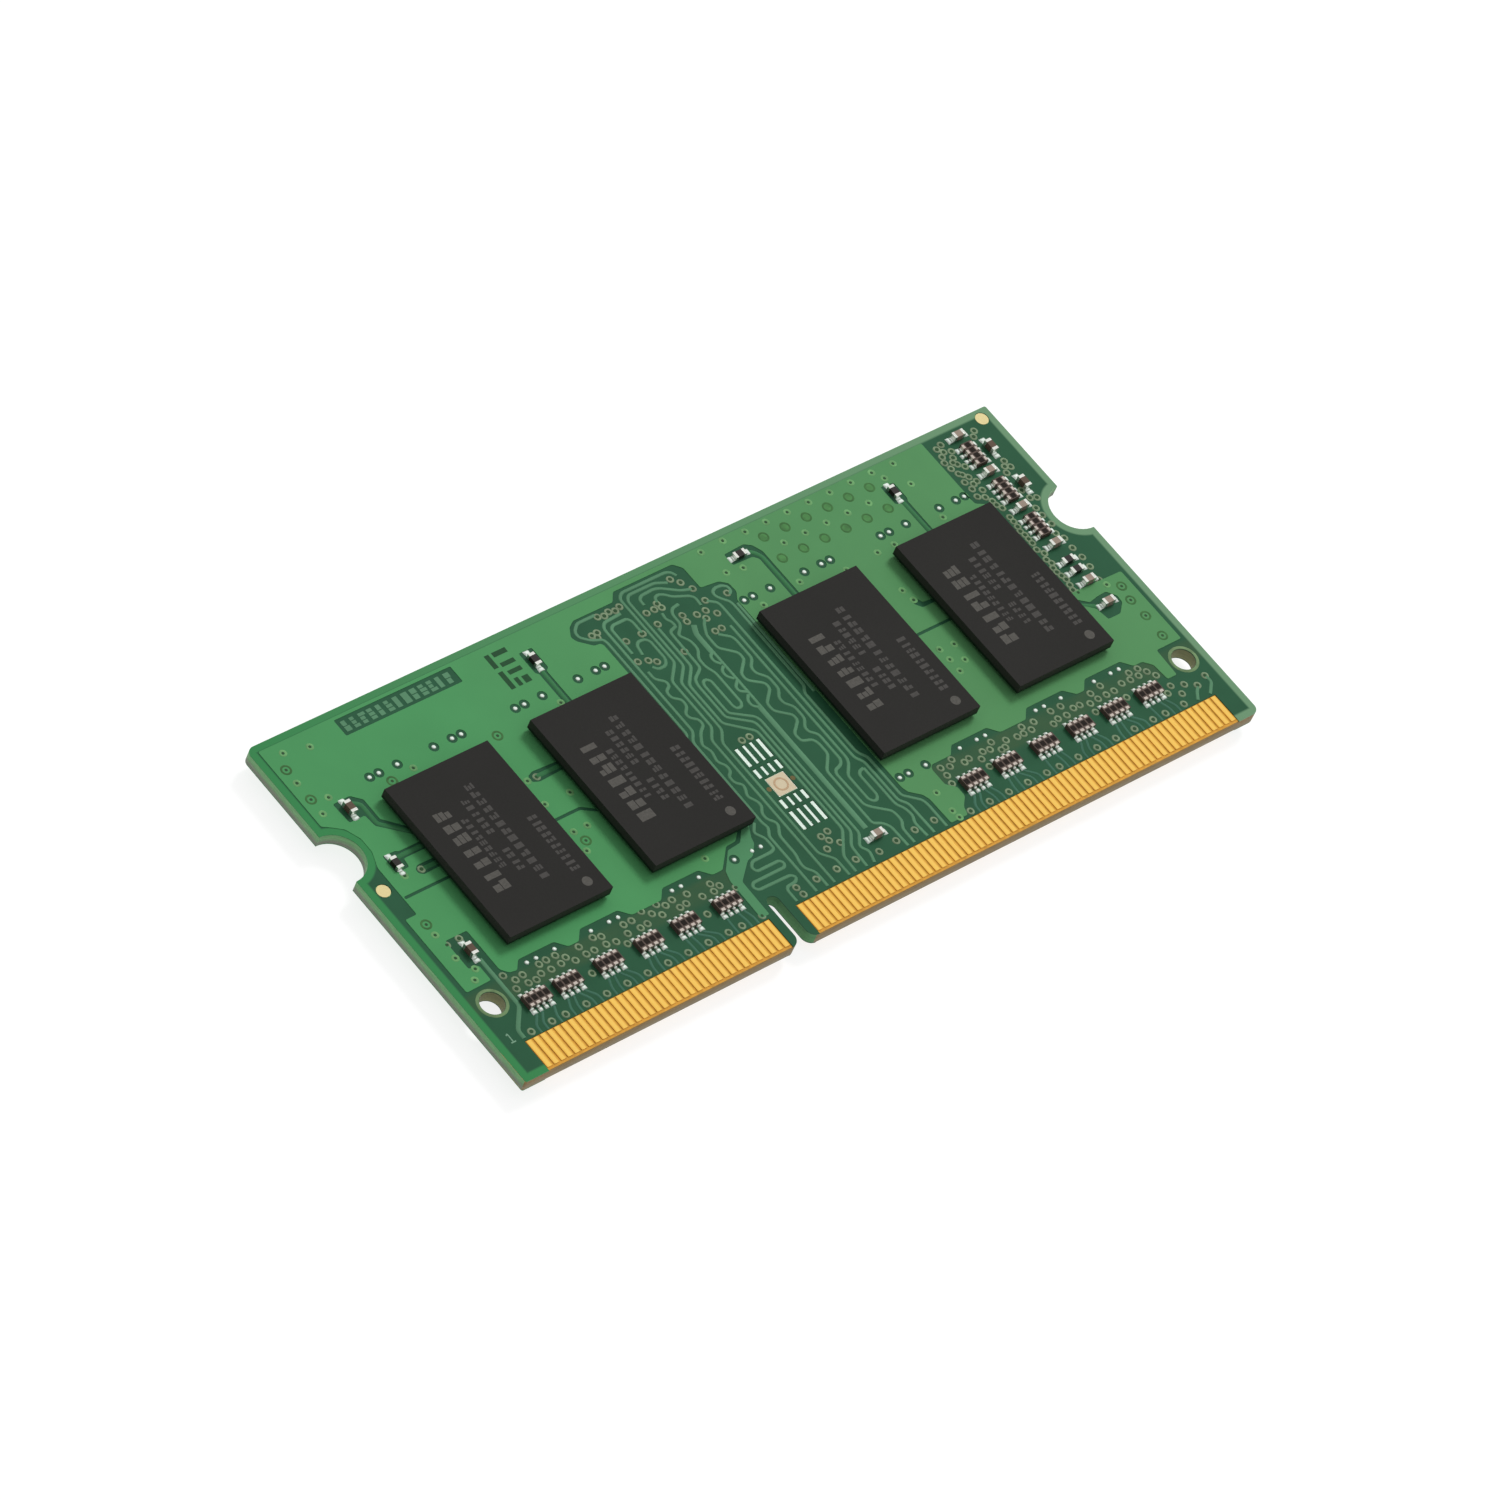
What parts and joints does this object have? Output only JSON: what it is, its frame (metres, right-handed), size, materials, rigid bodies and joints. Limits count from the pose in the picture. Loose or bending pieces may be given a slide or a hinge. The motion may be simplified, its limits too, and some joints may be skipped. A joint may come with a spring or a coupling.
{
  "type": "memory module",
  "caption": "Small-outline memory module: notched green circuit board with black memory packages, resistor arrays and gold edge contacts.",
  "frame": {"origin": "under the centre of the board's outline, at the level of the lowest back-side capacitors", "axes": "+X along the contact edge towards the longer contact group, +Y from the contact edge towards the opposite long side, +Z out of the face that carries the packages"},
  "size_m": [0.0676, 0.03, 0.003],
  "materials": {
    "laminate": "woven glass and epoxy laminate, satin cut edge",
    "copper": "copper foil, satin",
    "solder_mask": "green solder mask, semi-gloss",
    "gold_contact": "gold over nickel, polished",
    "tinned_pad": "tinned, satin",
    "gilded_pad": "thin gold flash, matte",
    "mould_compound": "black epoxy mould compound, fine matte grain",
    "package_substrate": "dark green package laminate",
    "silicon": "polished silicon",
    "solder": "reflowed solder",
    "resistor_body": "black overglaze on ceramic",
    "capacitor_body": "fired ceramic, tan",
    "tinned_terminal": "bright tin"
  },
  "bodies": {
    "root": {"core_laminate": "laminate", "prepreg_front": "laminate", "prepreg_back": "laminate", "ground_plane": "copper", "power_plane": "copper", "copper_pour_front": "copper", "copper_pour_back": "copper", "solder_mask_front": "solder_mask", "solder_mask_back": "solder_mask", "contacts_front_left": "gold_contact", "contacts_front_right": "gold_contact", "contacts_back_left": "gold_contact", "contacts_back_right": "gold_contact", "plated_vias": "tinned_pad", "fiducial_pads": "gilded_pad", "spare_footprint_pads": "tinned_pad", "dram_1_mould": "mould_compound", "dram_1_substrate": "package_substrate", "dram_1_die": "silicon", "dram_1_balls": "solder", "dram_2_mould": "mould_compound", "dram_2_substrate": "package_substrate", "dram_2_die": "silicon", "dram_2_balls": "solder", "dram_3_mould": "mould_compound", "dram_3_substrate": "package_substrate", "dram_3_die": "silicon", "dram_3_balls": "solder", "dram_4_mould": "mould_compound", "dram_4_substrate": "package_substrate", "dram_4_die": "silicon", "dram_4_balls": "solder", "data_resistor_array_01": "resistor_body", "data_resistor_array_02": "resistor_body", "data_resistor_array_03": "resistor_body", "data_resistor_array_04": "resistor_body", "data_resistor_array_05": "resistor_body", "data_resistor_array_06": "resistor_body", "data_resistor_array_07": "resistor_body", "data_resistor_array_08": "resistor_body", "data_resistor_array_09": "resistor_body", "data_resistor_array_10": "resistor_body", "data_resistor_array_11": "resistor_body", "data_resistor_array_12": "resistor_body", "termination_array_1": "resistor_body", "termination_array_2": "resistor_body", "termination_array_3": "resistor_body", "data_resistor_arrays_back": "resistor_body", "array_terminals_front": "tinned_terminal", "array_terminals_back": "tinned_terminal", "chip_resistor_bodies": "resistor_body", "chip_resistor_terminals": "tinned_terminal", "chip_capacitor_bodies_front": "capacitor_body", "chip_capacitor_terminals_front": "tinned_terminal", "chip_capacitor_bodies_back": "capacitor_body", "chip_capacitor_terminals_back": "tinned_terminal", "bulk_capacitor_bodies": "capacitor_body", "bulk_capacitor_terminals": "tinned_terminal", "spd_eeprom_body": "mould_compound", "spd_eeprom_pads": "tinned_terminal"}
  },
  "joints": []
}
